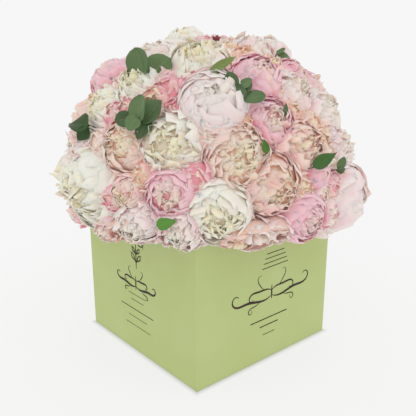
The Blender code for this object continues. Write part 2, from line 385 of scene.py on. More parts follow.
# How far, in millimetres, the end of a petal may pass below or stay above the hem.
HEM_SLACK = (-18, 13)
# How far over a neighbour's border a petal may lie, and how much of what the border holds
# back stands up between the two blooms instead.
GUARD_OVERLAP = 18 * MM
CORE_OVERLAP = 5 * MM
STAND_UP = 0.25


def petal_at(rows, place):
    """The petal at a place between the guard petals and the core."""
    places = sorted(rows)
    return Petal(*(np.interp(place, places, column)
                   for column in zip(*(rows[key] for key in places))))


# Height of the waves of a petal's edge, as a share of its jag, and how close they are.
EDGE_WAVES = ((0.45, 2.6), (0.30, 6.3), (0.25, 12.5))


def petal_edge(across, jag, rng):
    """How much shorter than its longest line a petal is along its uneven, notched edge."""
    waves = 0
    for height, rate in EDGE_WAVES:
        waves = waves + height * np.sin(rate * across + rng.uniform(0, math.tau))
    notch = np.exp(-((across - rng.uniform(-0.4, 0.4)) / 0.16) ** 2) * rng.uniform(0, 1)
    return jag * (waves + 0.9 * notch)


def petal_points(across, along, petal, radius, turn, rng):
    """Points of one petal about the middle of the bloom, with its axis along Z."""
    wild = petal.wild
    # Where each point lies between foot and tip, and how far it is turned up the bloom.
    uneven = petal_edge(across, petal.jag, rng)
    share = along * (1 - 0.15 * np.abs(across) ** 2.4 - smooth_step(0.3, 1, along) * uneven)
    top = petal.top + rng.uniform(-9, 9) * wild
    span = np.interp(petal.reach, list(PETAL_SPANS), list(PETAL_SPANS.values()))
    foot = max(PETAL_FOOT, top - span)
    skew = rng.uniform(-0.13, 0.13) * wild
    latitude = np.radians(foot + (top - foot) * share) + skew * across * share
    # How far it is turned round the bloom: narrow at the foot, widest at two thirds.
    half = math.radians(petal.width) * rng.uniform(1 - 0.12 * wild, 1 + 0.12 * wild)
    half = half * (0.34 + 0.66 * np.sin(np.clip(share / 0.66, 0, 1) * math.pi / 2))
    half = half * (1 - 0.22 * np.clip((share - 0.74) / 0.26, 0, 1) ** 2)
    offset = across * half
    # How far out it lies: one side laps over, the tip flares, and the edge ruffles.
    opened = smooth_step(0.5, 1.0, share)
    sides = np.abs(across) ** 3 * smooth_step(0.25, 0.7, share)
    edge = np.clip(opened + 0.6 * sides, 0, 1)
    reach = petal.reach * (1 + LAPPING * across + rng.uniform(-0.03, 0.03) * wild)
    reach = reach + rng.uniform(-0.08, 0.08) * wild * across * share
    reach = reach + petal.flare * rng.uniform(-0.6, 1.5) * opened ** 1.5
    reach = reach + rng.uniform(-0.05, 0.07) * wild * sides
    reach = reach + rng.uniform(-0.10, 0.06) * wild * np.abs(across) * share
    waves = 0.7 * np.sin(4.8 * across + 2.0 * share + rng.uniform(0, math.tau))
    waves = waves + 0.4 * np.sin(9.5 * across - 5.0 * share + rng.uniform(0, math.tau))
    frill = 0.35 * np.sin(12.0 * across + rng.uniform(0, math.tau)) * smooth_step(0.75, 1, share)
    reach = reach + petal.ruffle * edge * (waves + frill)
    swell = np.sin(2.6 * across + 5.0 * share + rng.uniform(0, math.tau))
    reach = reach + 0.022 * wild * swell * smooth_step(0.2, 0.5, share)
    out = np.cos(latitude) * np.cos(offset)
    x = out * math.cos(turn) - np.sin(offset) * math.sin(turn)
    y = out * math.sin(turn) + np.sin(offset) * math.cos(turn)
    z = np.sin(latitude) * np.cos(offset)
    points = np.stack([x, y, z], 1) * reach[:, None]
    points[:, 2] += petal.rise * smooth_step(0.1, 0.8, share)
    return points * radius


@lru_cache(maxsize=None)
def flat_shape(kind, *cuts):
    """The points of a new grid or ball, in the order its operator makes them."""
    bm = bmesh.new()
    if kind == "grid":
        bmesh.ops.create_grid(bm, x_segments=cuts[0], y_segments=cuts[1], size=1)
    else:
        bmesh.ops.create_icosphere(bm, subdivisions=cuts[0], radius=1)
    points = np.array([vert.co for vert in bm.verts])
    bm.free()
    return points


class Sheets:
    """Petals or leaves of one piece: their mesh, and the places and marks of its points."""

    def __init__(self):
        self.bm = bmesh.new()
        self.points = []
        self.marks = []

    def add(self, points, across, along, tint, depth):
        self.points.append(points)
        self.marks.append(np.stack(np.broadcast_arrays(across, along, tint, depth), 1))

    def add_sheet(self, cuts, place, depth, tint):
        """A grid that the function place carries from across and along to its points."""
        bmesh.ops.create_grid(self.bm, x_segments=cuts[0], y_segments=cuts[1], size=1)
        flat = flat_shape("grid", *cuts)
        across, along = flat[:, 0], (flat[:, 1] + 1) / 2
        self.add(place(across, along), (across + 1) / 2, along, tint, depth)

    def add_ball(self, cuts, place, depth, tint):
        bmesh.ops.create_icosphere(self.bm, subdivisions=cuts, radius=1)
        flat = flat_shape("ball", cuts)
        self.add(place(flat), 0.5, np.full(len(flat), HEART_ALONG), tint, depth)

    def set_points(self, mesh):
        """Moves the mesh's points to their places and stores each one's mark."""
        mesh.vertices.foreach_set("co", np.concatenate(self.points).ravel())
        marks = mesh.attributes.new("petal", "FLOAT_COLOR", "POINT")
        marks.data.foreach_set("color", np.concatenate(self.marks).ravel())
        mesh.update()


def add_heart(sheets, cell, planes, radius, blush):
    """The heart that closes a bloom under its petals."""
    def place(ball):
        height = np.where(ball[:, 2] > 0, HEARTS[cell.form], HEART_DEPTH)
        width = np.full_like(height, HEART_WIDTH)
        points = ball * np.stack([width, width, height], 1)
        points = points * radius @ cell.basis.T + np.array(cell.middle)
        pressed = press_together(points, planes, HEART_SOFTNESS, 0, np.zeros(3))
        return keep_off_box(lift_hem(pressed, HEART_SLACK))

    # The heart sits low along the petal, so it takes mostly the foot colour, which is partly
    # painted warm shade.
    sheets.add_ball(3, place, HEART_TONE, blush)


def grow_bloom(sheets, cell, planes, rng, coarse=False):
    """Grows a bloom's petals in a spiral from the guard petals in to the core."""
    count, rows = FORMS[cell.form]
    middle = np.array(cell.middle)
    axis = np.array(cell.axis)
    radius = cell.radius * settings().bloom_fullness
    blush = rng.random()
    pale = cell.name.endswith(BROAD_GUARDS)
    core_tone, tint_tone = (PALE_CORE, PALE_TINT) if pale else (1.0, 1.0)
    lightest = PALE if pale else 0.0

    def grow(petal, turn, depth, droop=0.0):
        shape_rng = random.Random(rng.random())
        slack = rng.uniform(*HEM_SLACK) * MM
        overlap = rng.random() * np.interp(depth, (0, 0.4), (GUARD_OVERLAP, CORE_OVERLAP))

        def place(across, along):
            points = petal_points(across, along, petal, radius, turn, shape_rng)
            points = points @ cell.basis.T + middle
            points[:, 2] -= droop * radius * smooth_step(0.35, 1.1, along) ** 2
            pressed = press_together(points, planes, settings().press_softness, overlap, axis)
            return keep_off_box(lift_hem(pressed, slack))

        cuts = FILLER_CUTS if coarse else GUARD_CUTS if depth < GUARDS_END else CORE_CUTS
        tint = tint_tone * (0.5 * blush + 0.5 * rng.random())
        sheets.add_sheet(cuts, place, max(depth, lightest) * core_tone, tint)

    if cell.elevation < HANGING_BELOW and cell.form != "bud":
        for number in range(HANGING_COUNT):
            turn = math.pi + HANGING_SPREAD * (number / (HANGING_COUNT - 1) - 0.5)
            grow(HANGING, turn + rng.uniform(-0.12, 0.12), PALE, rng.uniform(0.0, 0.2))
    if pale:
        for number in range(BROAD_COUNT):
            turn = number * GOLDEN_ANGLE + rng.uniform(-0.3, 0.3)
            grow(BROAD[number % 2], turn, 0.05)
    add_heart(sheets, cell, planes, radius, blush)
    first = rng.uniform(0, math.tau)
    for number in range(count):
        depth = number / (count - 1)
        turn = first + number * GOLDEN_ANGLE + rng.uniform(-0.2, 0.2)
        grow(petal_at(rows, depth), turn, depth)


def flower_cells():
    return [Cell(name) for name in sorted(frame["nodes"]) if SLOTS[name].startswith("petals_")]


def make_blooms():
    """A piece of petals for each peony of the frame, in place of its solid."""
    cells = flower_cells()
    for cell in cells:
        rng = random.Random(f"{cell.name} {settings().seed}")
        sheets = Sheets()
        grow_bloom(sheets, cell, border_planes(cell, cells), rng)
        add_piece(f"{cell.name}_petals", sheets, petal_material(cell.slot),
                  [cell.name], settings().petal_thickness)


# ---------------------------------------------------------------- filler blooms

FILLER_SLOTS = ("petals_blush", "petals_pink", "petals_peach")
# Fillers: how far inside the dome's surface their middles lie, how many places are tried,
# how far apart they stay, how wide the gap is that takes one, how much of a bloom's spread
# counts as closed, how far down the dome they come, in radii, and the radius that a filler
# starts from and gains with its gap.
FILLER_DEPTH = 30 * MM
FILLER_TRIES = 900
FILLER_APART = math.radians(7)
SMALLEST_GAP = math.radians(1.0)
ROOM_ROUND_BOX = 14 * MM
CLOSED_SPREAD = 0.72
FILLED_HEIGHT = 1.16
FILLER_RADIUS = 22 * MM
FILLER_GAIN = 60 * MM


class Filler:
    """A small crumpled bloom that shows in the gap between larger ones."""

    form = "tuft"
    name = "filler"

    def __init__(self, middle, radius):
        self.middle = middle
        self.radius = radius
        self.axis = (middle - STEMS_MEET).normalized()
        self.basis = basis_along(self.axis)
        self.elevation = 90


def find_gaps(cells):
    """Places on the dome that lie outside every bloom, the widest gaps first."""
    found = []
    for number in range(FILLER_TRIES):
        height = 1 - FILLED_HEIGHT * (number + 0.5) / FILLER_TRIES
        turn = number * math.pi * (1 + 5 ** 0.5)
        level = math.sqrt(1 - height * height)
        outward = Vector((level * math.cos(turn), level * math.sin(turn), height))
        middle = DOME_CENTRE + outward * (DOME_RADIUS - FILLER_DEPTH)
        axis = (middle - STEMS_MEET).normalized()
        gap = min(axis.angle(cell.axis) - cell.spread * CLOSED_SPREAD for cell in cells)
        if gap > SMALLEST_GAP and not near_box(middle):
            found.append((gap, middle, axis))
    found.sort(key=lambda row: -row[0])
    chosen = []
    for gap, middle, axis in found:
        if all(axis.angle(other[2]) > FILLER_APART for other in chosen):
            chosen.append((gap, middle, axis))
    return chosen


def near_box(point):
    inside = max(abs(point.x), abs(point.y)) < BOX_HALF + ROOM_ROUND_BOX
    return inside and point.z < BOX_TOP + ROOM_ROUND_BOX


def make_fillers():
    """The filler blooms, in one piece for each colour."""
    cells = flower_cells()
    rng = random.Random(settings().seed)
    tufts = {slot: Sheets() for slot in FILLER_SLOTS}
    for gap, middle, _axis in find_gaps(cells):
        sheets = tufts[rng.choice(FILLER_SLOTS)]
        radius = FILLER_RADIUS + gap * FILLER_GAIN
        grow_bloom(sheets, Filler(middle, radius), [], rng, coarse=True)
    for slot, sheets in tufts.items():
        add_piece(f"filler_{slot}", sheets, petal_material(slot), (),
                  settings().petal_thickness)


# ---------------------------------------------------------------- stems and leaves

SEPAL = Petal(1.06, -34, 26, 0.02, 0.02, 0.03, 0.0, 1.0)
SEPAL_COUNT = 4
SEPAL_THICKNESS = 0.5 * MM
SEPAL_SOFTNESS = 8 * MM
SEPAL_SLACK = 8 * MM
STEM_TAPER = 0.85


def set_along(place, axis):
    """The matrix that moves a form to a place and turns its Z axis along another."""
    turn = Vector((0, 0, 1)).rotation_difference(axis).to_matrix().to_4x4()
    return Matrix.Translation(place) @ turn


def add_stem(bm, start, end, radius):
    """A tapered stem between two points, closed at its ends."""
    axis = end - start
    bmesh.ops.create_cone(
        bm, cap_ends=True, segments=10, radius1=radius, radius2=radius * STEM_TAPER,
        depth=axis.length, matrix=set_along((start + end) / 2, axis))


def make_stems():
    """Cut stems with their calyx, in one piece, because the blooms hide them."""
    bm = bmesh.new()
    for cell in flower_cells():
        start = STEMS_MEET + cell.axis * STEM_START
        back = cell.middle - cell.axis * cell.radius
        add_stem(bm, start, back - cell.axis * 2 * MM, STEM_RADIUS)
        bmesh.ops.create_cone(
            bm, cap_ends=True, segments=12, radius1=STEM_RADIUS, radius2=CALYX_RADIUS,
            depth=CALYX_LENGTH, matrix=set_along(back, cell.axis))
    add_piece("peony_stems", bm, leaf_material("fresh green stem", "5E7A3A", "86A05A"))


def make_sepals():
    """Sepals under every bloom, in one piece, because the blooms hide them."""
    cells = flower_cells()
    sheets = Sheets()
    for cell in cells:
        rng = random.Random(f"sepals {cell.name}")
        planes = border_planes(cell, cells)
        for number in range(SEPAL_COUNT):
            turn = math.tau * number / SEPAL_COUNT + rng.uniform(-0.3, 0.3)

            def place(across, along):
                points = petal_points(across, along, SEPAL, cell.radius, turn, rng)
                points = points @ cell.basis.T + np.array(cell.middle)
                pressed = press_together(
                    points, planes, SEPAL_SOFTNESS, 0, np.array(cell.axis))
                return keep_off_box(lift_hem(pressed, SEPAL_SLACK))

            sheets.add_sheet((4, 5), place, 0, rng.random())
    add_piece("peony_sepals", sheets, leaf_material("fresh green sepal", "55732F", "7C9A4C"),
              (), SEPAL_THICKNESS)


def round_outline(share):
    return np.sin(math.pi * share ** 0.9) ** 0.55


def pointed_outline(share):
    return 2.6 * share ** 0.5 * (1.0 - share)


# Each sprig: azimuth and elevation of its place on the dome, the same for the way it faces,
# and its leaves. A leaf has its foot to the right of, above and out from the sprig's place,
# its turn to the left from straight up, its lean, length and half width. Millimetres and
# degrees.
SPRIGS = {
    "eucalyptus_left": (-159, 38, -143, 28, (
        (5, -20, 5, -30, 2, 40, 18), (4, -22, 14, 8, 16, 36, 16), (-6, -14, 8, 100, 4, 26, 11),
        (5, -18, 20, 150, 10, 21, 11), (13, -12, 6, 158, 4, 32, 12))),
    "eucalyptus_top": (-172, 56, -140, 25, (
        (2, -20, 9, 16, 10, 42, 18), (4, -18, 6, -44, -4, 42, 20), (-2, -14, 3, 66, -6, 26, 12))),
    "eucalyptus_middle": (-114, 46, -125, 30, (
        (-12, -10, 13, 12, 6, 30, 10), (-8, -2, 12, -58, 4, 22, 6.5),
        (-3, -20, 14, -74, 6, 31, 10), (-2, -19, 16, 22, 6, 22, 7),
        (-5, -12, 11, -34, 4, 26, 8))),
    "eucalyptus_back": (56, 8, 56, 12, (
        (4, -12, 8, -14, 8, 38, 18), (-2, -12, 13, 24, 10, 34, 15), (-10, -8, 7, 100, 4, 28, 12),
        (10, -8, 8, -98, 4, 30, 12), (0, -10, 15, 176, 8, 28, 12))),
    "peony_leaf_right": (-88, 19, -105, 20, ((-13, -10, 9, -66, 6, 42, 9),)),
    "peony_leaf_left": (170, 28, -165, 25, (
        (10, 4, 4, 96, 4, 36, 16), (10, 0, 2, 138, -4, 26, 10))),
    "small_grey_leaves": (-74, 15, -110, 20, (
        (-9, -8, 8, -40, 4, 21, 6), (-9, -8, 6, -100, 4, 16, 5))),
    "small_round_leaves": (-55, 61, -120, 30, (
        (-6, 0, 4, -104, 4, 20, 6), (-8, -2, 6, -60, 4, 16, 5))),
    "small_olive_leaf": (-116, 55, -125, 35, ((-33, -12, 14, -58, 6, 44, 6),)),
    "small_low_leaf": (-143, 3, -135, 10, ((-14, -7, 9, -72, 6, 26, 8),)),
    "small_gap_leaf": (-109, 26, -120, 22, ((-2, -10, 8, 12, 4, 19, 5),)),
    "small_upper_leaf": (-97, 39, -115, 30, ((0, -14, 8, -8, 4, 15, 4),)),
    "small_red_tip": (-112, 80, -130, 20, (
        (0, -4, 2, 40, 10, 9, 3), (0, -4, 2, -50, 10, 8, 3), (1, -3, 3, -5, 10, 7, 3))),
}
# How far inside the dome's surface a sprig's place lies.
LEAF_SINK = 9 * MM
LEAF_THICKNESS = 0.45 * MM
LEAF_CUTS = (8, 12)
STALK_LENGTH = 40 * MM
STALK_RADIUS = 0.9 * MM
SPRIG_STEM_RADIUS = 2 * MM
SPRIG_FORK = 30 * MM
ROUND_LEAVED = ("eucalyptus", "small_round", "small_grey")
LEAF_COLOURS = {
    "eucalyptus": ("waxy eucalyptus leaf", "0C1C06", "5C7C46"),
    "peony": ("satin peony leaf", "0C2404", "34621A"),
    "small_olive": ("olive young leaf", "4F6628", "85994E"),
    "small_red": ("dark red petal tip", "4A0A14", "96303E"),
    ("small_low", "small_gap"): ("fresh bud leaf", "1E4E0C", "4C8826"),
}


def direction(azimuth, elevation):
    """The unit vector that points to an azimuth and elevation in degrees."""
    turn, rise = math.radians(azimuth), math.radians(elevation)
    return Vector((math.cos(turn) * math.cos(rise), math.sin(turn) * math.cos(rise),
                   math.sin(rise)))


def leaf_finish(name):
    """The material of a sprig, by the start of its name."""
    for start, finish in LEAF_COLOURS.items():
        if name.startswith(start):
            return leaf_material(*finish)
    return leaf_material(*LEAF_COLOURS["eucalyptus"])


def leaf_points(across, along, outline, length, half_width, rng):
    """Points of one leaf that grows along X, with its upper side towards Z."""
    bend = rng.uniform(-0.35, 0.10)
    fold = rng.uniform(0.10, 0.50)
    phase = rng.uniform(0, math.tau)
    side = across * half_width * np.maximum(outline(along), 0.02)
    rise = bend * length * along ** 2 + fold * np.abs(side)
    rise = rise + 0.07 * length * np.sin(5 * along + phase) * across
    return np.stack([along * length, side, rise], 1)


def grow_leaf(sheets, foot, facing, leaf, outline, rng):
    """Adds one leaf, turned and leant as its row of the sprig says."""
    turn, lean, length, half_width = leaf[3:]
    twist = Matrix.Rotation(math.radians(turn), 4, "Z") @ Matrix.Rotation(
        math.radians(-lean), 4, "Y") @ Matrix.Rotation(rng.uniform(-0.5, 0.5), 4, "X")
    twist = np.array(twist.to_3x3())

    def place(across, along):
        points = leaf_points(across, along, outline, length * MM, half_width * MM, rng)
        points = points @ twist.T @ facing.T + np.array(foot)
        return keep_off_box(points)

    sheets.add_sheet(LEAF_CUTS, place, 0, rng.random())


def make_sprigs():
    """Leaves and stems of every sprig, the small ones between the blooms included."""
    for name, (azimuth, elevation, face_azimuth, face_elevation, leaves) in SPRIGS.items():
        rng = random.Random(name)
        in_frame = name in frame["nodes"]
        outline = round_outline if name.startswith(ROUND_LEAVED) else pointed_outline
        outward = direction(azimuth, elevation)
        place = DOME_CENTRE + outward * (DOME_RADIUS - LEAF_SINK)
        facing = basis_along(direction(face_azimuth, face_elevation))
        sheets = Sheets()
        stem = bmesh.new()
        for leaf in leaves:
            right, up, out = (value * MM for value in leaf[:3])
            foot = place + Vector(facing @ np.array((up, -right, 0))) + outward * out
            grow_leaf(sheets, foot, facing, leaf, outline, rng)
            add_stem(stem, foot - outward * STALK_LENGTH, foot, STALK_RADIUS)
        material = leaf_finish(name)
        replaced = [name] if in_frame else []
        add_piece(f"{name}_leaves", sheets, material, replaced, LEAF_THICKNESS)
        if in_frame:
            start = STEMS_MEET + Cell(name).axis * STEM_START
            add_stem(stem, start, place - outward * SPRIG_FORK, SPRIG_STEM_RADIUS)
        add_piece(f"{name}_stem", stem, material)


# ---------------------------------------------------------------- materials

# Petal colours: the foot of a petal, warmer than the rest, partly the petal's own colour and
# partly painted warm shade for the folds and crevices between petals, then a guard petal, a
# middle one and one of the core, the bright edge, and the tint that blotches some petals.
PETAL_COLOURS = {
    "petals_ivory": ("F8E2CC", "F8F2E6", "F8F1DF", "F7E9BA", "FBF6EA", "F5CFD2"),
    "petals_blush": ("F6CABE", "F5DBDA", "F6E2DC", "F7E8D2", "FAF0EA", "EC8CAE"),
    "petals_pink": ("F08CA0", "F3B2C0", "F4C4CA", "F6DDC4", "F7D4DA", "E04E84"),
    "petals_peach": ("F6B8A0", "F6CDC8", "F7D6C6", "F7E2BA", "F8E4D8", "EB869C"),
}
# Sizes of the patterns on a petal, the width that a petal counts as having, and the size of
# the spots on a leaf.
VEIN_SPACING = 1.1 * MM
CRINKLE_SPACING = 7 * MM
PETAL_SPAN = 60 * MM
BLOTCH = 22 * MM
LEAF_MOTTLE = 9 * MM


def petal_material(slot):
    """Peony petal: a soft translucent sheet that glows in its folds, and warm near its foot,
    partly by its own colour and partly by painted warm shade.
    """
    name = f"silky peony petal {slot[7:]}"
    if name in bpy.data.materials:
        return bpy.data.materials[name]
    foot, guard, body, core, edge, tint = PETAL_COLOURS[slot]
    material, tree = new_material(name)
    petal = add_node(tree, "ShaderNodeAttribute", {"attribute_name": "petal"})
    parts = add_node(tree, "ShaderNodeSeparateColor", None, {0: petal.outputs["Color"]})
    by_whorl = add_node(tree, "ShaderNodeValToRGB", None, {0: petal.outputs["Alpha"]})
    set_stops(by_whorl, ((0.05, guard), (0.4, body), (0.85, core)))
    patch = add_node(tree, "ShaderNodeMapRange", None, {
        0: object_noise(tree, BLOTCH, 3.0), 1: 0.42, 2: 0.72, 3: 0.0, 4: 0.8})
    tinge = smooth_range(tree, parts.outputs[2], 0.25, 0.8, 0.0, 1.0)
    strength = add_node(tree, "ShaderNodeMath", {"operation": "MULTIPLY"},
                        {0: patch.outputs[0], 1: tinge})
    colour = mix_colours(tree, strength.outputs[0], by_whorl.outputs[0], srgb(tint))
    # Towards the foot the colour turns to the foot colour: partly the petal's own warmer base,
    # partly painted warm shade for the crevices between petals.
    foot_tone_and_painted_shade = smooth_range(tree, parts.outputs[1], 0.3, 0.75, 0.9, 0.0)
    colour = mix_colours(tree, foot_tone_and_painted_shade, colour, srgb(foot))
    near_edge = smooth_range(tree, parts.outputs[1], 0.8, 1.0, 0.0, 0.4)
    colour = mix_colours(tree, near_edge, colour, srgb(edge))
    veins = stretched_noise(tree, petal, (PETAL_SPAN / VEIN_SPACING, 3.0, 40.0), 2.0)
    crinkle = stretched_noise(tree, petal, (PETAL_SPAN / CRINKLE_SPACING, 4.0, 60.0), 1.0)
    fine = add_bump(tree, veins, 0.2, 0.3 * MM)
    finish_material(tree, {
        "Base Color": colour,
        "Roughness": 0.6,
        "IOR": 1.4,
        "Specular IOR Level": 0.3,
        "Subsurface Weight": 1.0,
        "Subsurface Radius": (1.0, 0.85, 0.8),
        "Subsurface Scale": 0.4 * MM,
        "Normal": add_bump(tree, crinkle, 0.5, 2 * MM, fine),
    })
    return material


def leaf_material(name, dark, light):
    """A leaf: cuticle over green flesh, paler along the midrib."""
    if name in bpy.data.materials:
        return bpy.data.materials[name]
    material, tree = new_material(name)
    leaf = add_node(tree, "ShaderNodeAttribute", {"attribute_name": "petal"})
    parts = add_node(tree, "ShaderNodeSeparateColor", None, {0: leaf.outputs["Color"]})
    off_middle = add_node(tree, "ShaderNodeMath", {"operation": "SUBTRACT"},
                          {0: parts.outputs[0], 1: 0.5})
    aside = add_node(tree, "ShaderNodeMath", {"operation": "ABSOLUTE"}, {0: off_middle.outputs[0]})
    rib = add_node(tree, "ShaderNodeMapRange", None,
                   {0: aside.outputs[0], 1: 0.0, 2: 0.03, 3: 0.35, 4: 0.0})
    lit = add_node(tree, "ShaderNodeMath", {"operation": "MULTIPLY_ADD"},
                   {0: parts.outputs[2], 1: 0.6, 2: rib.outputs[0]})
    shade = add_node(tree, "ShaderNodeMath", {"operation": "MULTIPLY_ADD"},
                     {0: object_noise(tree, LEAF_MOTTLE, 4.0), 1: 0.3, 2: lit.outputs[0]})
    finish_material(tree, {
        "Base Color": mix_colours(tree, shade.outputs[0], srgb(dark), srgb(light)),
        "Specular IOR Level": 0.2,
        "Roughness": 0.42,
        "Subsurface Weight": 0.08,
        "Subsurface Scale": 1 * MM,
        "Normal": add_bump(tree, shade.outputs[0], 0.4, 0.5 * MM),
    })
    return material


def card_material():
    """Rigid card wrapped in matt printed paper, with faint fibres and soft clouds of tone."""
    material, tree = new_material("matt printed box paper")
    cloud = object_noise(tree, 90 * MM)
    fibre = object_noise(tree, 0.8 * MM, 3.0)
    finish_material(tree, {
        "Base Color": two_tone(tree, cloud, "AAB964", "AEBF6F"), "Roughness": 0.62,
        "Normal": add_bump(tree, fibre, 0.15, 0.1 * MM)})
    return material


def foam_material():
    """Wet phenolic foam: fine open cells, dark green where it holds water."""
    material, tree = new_material("wet floral foam")
    place = add_node(tree, "ShaderNodeTexCoord")
    cells = add_node(tree, "ShaderNodeTexVoronoi", None,
                     {"Vector": place.outputs["Object"], "Scale": 1 / (1.5 * MM)})
    cloud = object_noise(tree, 40 * MM, 4.0)
    finish_material(tree, {
        "Base Color": two_tone(tree, cloud, "274A32", "3D6B48"), "Roughness": 0.9,
        "Normal": add_bump(tree, cells.outputs[0], 0.6, 0.6 * MM)})
    return material


def liner_material():
    """Thin vacuum-formed plastic tray, cloudy grey with a soft gloss."""
    material, tree = new_material("vacuum formed liner plastic")
    cloud = object_noise(tree, 30 * MM)
    finish_material(tree, {
        "Base Color": two_tone(tree, cloud, "C9CFCE", "DDE2E0"), "Roughness": 0.3,
        "Normal": add_bump(tree, cloud, 0.1, 0.4 * MM)})
    return material


# ---------------------------------------------------------------- box

def dress(node, material):
    mesh = frame["nodes"][node].data
    mesh.materials.clear()
    mesh.materials.append(material)


def make_box():
    """Gives the box, its liner and the foam, which the frame holds, their finish."""
    dress("card_box", card_material())
    dress("waterproof_liner", liner_material())
    foam = foam_material()
    dress("foam_block", foam)
    dress("foam_crown", foam)


# ---------------------------------------------------------------- print on the box

INK_PROUD = 0.15 * MM
INK_THICKNESS = 0.2 * MM
STROKE_STEPS = 48


def scroll(start, length, heading, wave, curl, width, curl_from=0.42):
    """A pen stroke that waves and then curls up: points, and half its width along it."""
    share = np.linspace(0, 1, STROKE_STEPS)
    turn = math.radians(heading) + wave * np.sin(math.tau * 0.75 * share)
    turn = turn + curl * smooth_step(curl_from, 1.3, share) ** 1.4
    step = length / (STROKE_STEPS - 1)
    points = np.stack([np.cumsum(np.cos(turn)), np.cumsum(np.sin(turn))], 1) * step
    return points + np.array(start), width * (0.25 + 0.75 * np.sin(math.pi * share ** 0.8))


def rule(middle, length, width):
    """A straight thin rule."""
    share = np.linspace(-0.5, 0.5, 3)
    return np.stack([middle[0] + share * length, middle[1] + 0 * share], 1), width + 0 * share


def mirrored(stroke, middle):
    points, width = stroke
    return np.stack([2 * middle - points[:, 0], points[:, 1]], 1), width


def flourish(middle, height, length):
    """A symmetrical scroll ornament about its middle."""
    right = [
        scroll((middle, height - 3), 0.66 * length, -30, 0.75, 8.5, 2.2, 0.45),
        scroll((middle, height + 5), 0.40 * length, 34, -0.6, -8.0, 1.7, 0.40),
        scroll((middle + 0.16 * length, height - 8), 0.26 * length, -34, 0.5, -6.0, 1.0, 0.3),
        scroll((middle + 0.10 * length, height + 10), 0.22 * length, 30, 0.4, 5.0, 0.9, 0.3),
    ]
    return right + [mirrored(stroke, middle) for stroke in right] + [
        scroll((middle, height - 10), 24, 90, 0.0, 0.0, 1.6)]


def flower_sprig(middle, low, tall):
    """A line-drawn sprig: a stem, two pairs of leaves and an open flower."""
    strokes = [scroll((middle, low), 0.66 * tall, 90, 0.0, 0.0, 1.3)]
    right = []
    for height, size in ((0.16, 0.31), (0.34, 0.25)):
        start = (middle, low + height * tall)
        right.append(scroll(start, size * tall, 70, -0.9, 0.3, 1.2))
        right.append(scroll(start, size * tall, 30, 0.8, 0.6, 1.2))
    for heading in (78, 50, 20, -12):
        for side in (-1, 1):
            right.append(scroll((middle + 1.2, low + 0.66 * tall), 0.34 * tall,
                                heading + 24 * side, 0.0, -2.4 * side, 1.1, 0.0))
    return strokes + right + [mirrored(stroke, middle) for stroke in right]


# The print of the box's faces: millimetres to the right of a face's middle and above the
# box's foot.
NARROW_PRINT = (
    *flower_sprig(-5, 145, 72), *flourish(-8, 119, 100), rule((-6, 100), 46, 0.5),
    rule((-6, 90), 34, 0.5), rule((-8, 74), 88, 0.7), rule((-6, 60), 50, 0.5),
    rule((-6, 45), 66, 0.5))
WIDE_PRINT = (
    *(rule((16, 157 + 7.5 * line), 56 - 6 * line, 0.7) for line in range(4)),
    *flourish(10, 112, 160), rule((6, 72), 80, 1.0), rule((6, 60), 40, 1.0),
    rule((6, 45), 26, 0.6))


def ink_material():
    """Dark brown offset ink, a little smoother than the paper it lies on."""
    material, tree = new_material("dark brown printing ink")
    cloud = object_noise(tree, 1.2 * MM)
    finish_material(tree, {
        "Base Color": two_tone(tree, cloud, "1C100A", "33231A"), "Roughness": 0.5,
        "Specular IOR Level": 0.1})
    return material


def make_print():
    """Ornament in raised ink on all four faces, the wide pattern on opposite faces."""
    bm = bmesh.new()
    for face, print_strokes in enumerate((WIDE_PRINT, NARROW_PRINT) * 2):
        turn = np.array(Matrix.Rotation(-face * math.pi / 2, 3, "Z"))
        for points, half_widths in print_strokes:
            made = bmesh.ops.create_grid(
                bm, x_segments=len(points) - 1, y_segments=1, size=1)["verts"]
            forward = np.gradient(points, axis=0)
            forward = forward / np.linalg.norm(forward, axis=1)[:, None]
            sideways = np.stack([-forward[:, 1], forward[:, 0]], 1)
            for vert in made:
                at = round((vert.co.x + 1) / 2 * (len(points) - 1))
                right, up = (points[at] + sideways[at] * half_widths[at] * vert.co.y) * MM
                vert.co = turn @ np.array((right, -BOX_HALF - INK_PROUD, up))
    bmesh.ops.recalc_face_normals(bm, faces=bm.faces)
    add_piece("box_print", bm, ink_material(), (), INK_THICKNESS, smooth=False)


# ---------------------------------------------------------------- stage

CAMERA_PLACE = Vector((-645.1, -755.1, 547.5)) * MM
CAMERA_PITCH = math.radians(18.45)
CAMERA_HEADING = math.radians(40.55)
CAMERA_LENS = 55.4
SENSOR_WIDTH = 36
# The floor's half side in metres, how far from the box its painted contact shadow reaches,
# and how strongly the floor glows there, dimmed as painted shadow, and in the open.
FLOOR_HALF = 3000
PAINTED_SHADOW_REACH = 9 * MM
SHADED_GLOW = 0.35
FLOOR_GLOW = 0.68
KEY_HEADING = Vector((0.25, 0.45, -1))
SUN_SOFTNESS = math.radians(60)
SOFT_GAMMA = 1.3
# How bright the backdrop is to the camera.
BACKDROP = 0.9


